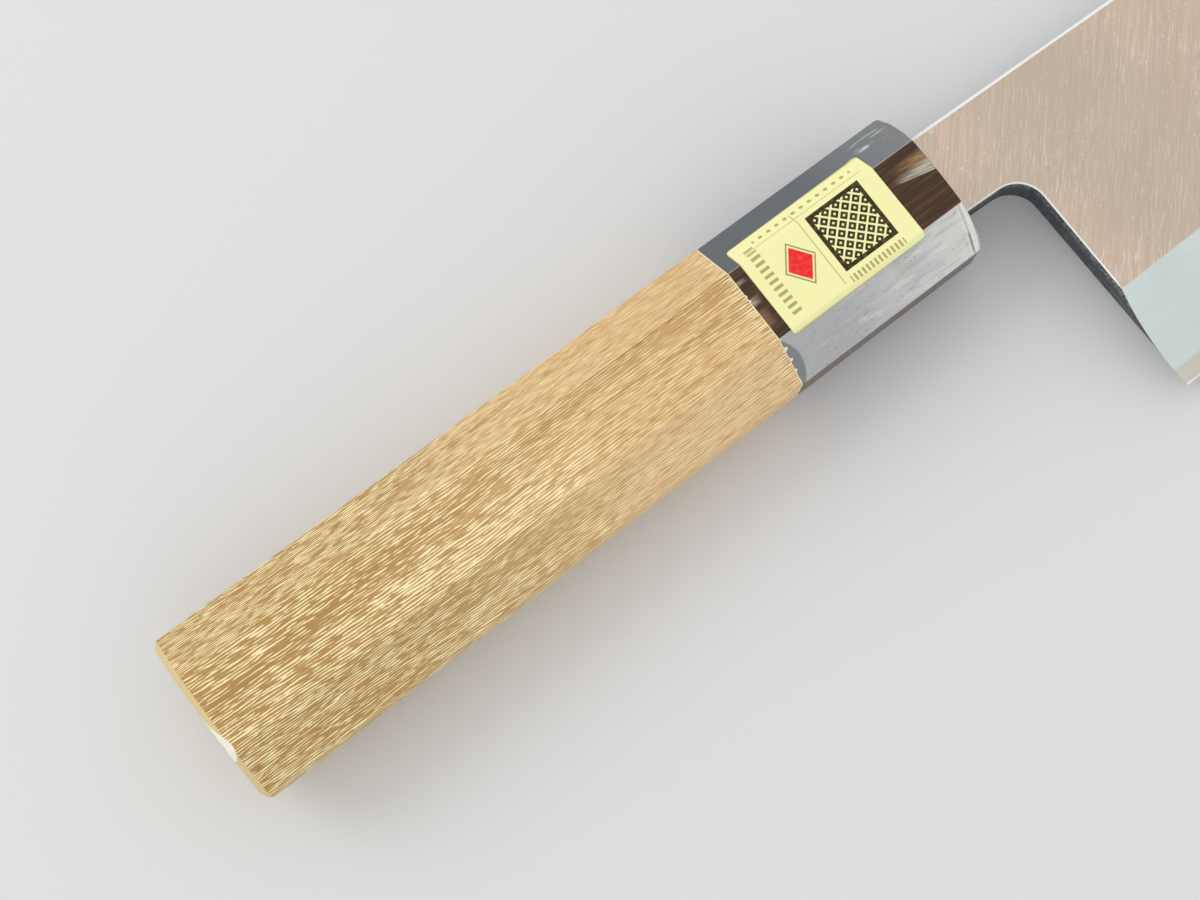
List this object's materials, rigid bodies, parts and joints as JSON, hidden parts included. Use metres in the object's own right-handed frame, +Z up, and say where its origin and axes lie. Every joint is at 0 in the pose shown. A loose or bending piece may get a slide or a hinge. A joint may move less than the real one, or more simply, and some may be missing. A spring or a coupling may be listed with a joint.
{
  "type": "deba knife",
  "caption": "Heavy single-bevel kitchen knife: laminated steel blade with a hollow back, octagonal magnolia handle, horn ferrule and paper label.",
  "frame": {"origin": "centre of the bottom of the knife's box, on the table that it lies on, bevel side up", "axes": "+X along the handle towards the tip, +Y from the cutting edge towards the spine, +Z up from the flat back to the bevel side"},
  "size_m": [0.334, 0.064, 0.0283],
  "materials": {
    "soft_iron": "soft iron, warm grey, finely scratched along the grind, dark on the neck and choil",
    "hard_steel": "high-carbon steel, ground along the edge and polished on the back's rim",
    "handle_wood": "bare magnolia, sanded, tan with pale flecks along the grain",
    "buffalo_horn": "polished horn, dark brown to slate grey with pale streaks at its ends",
    "label_paper": null
  },
  "bodies": {
    "root": {"blade_iron": "soft_iron", "blade_steel": "hard_steel", "handle_body": "handle_wood", "ferrule": "buffalo_horn", "label": "label_paper"}
  },
  "joints": []
}
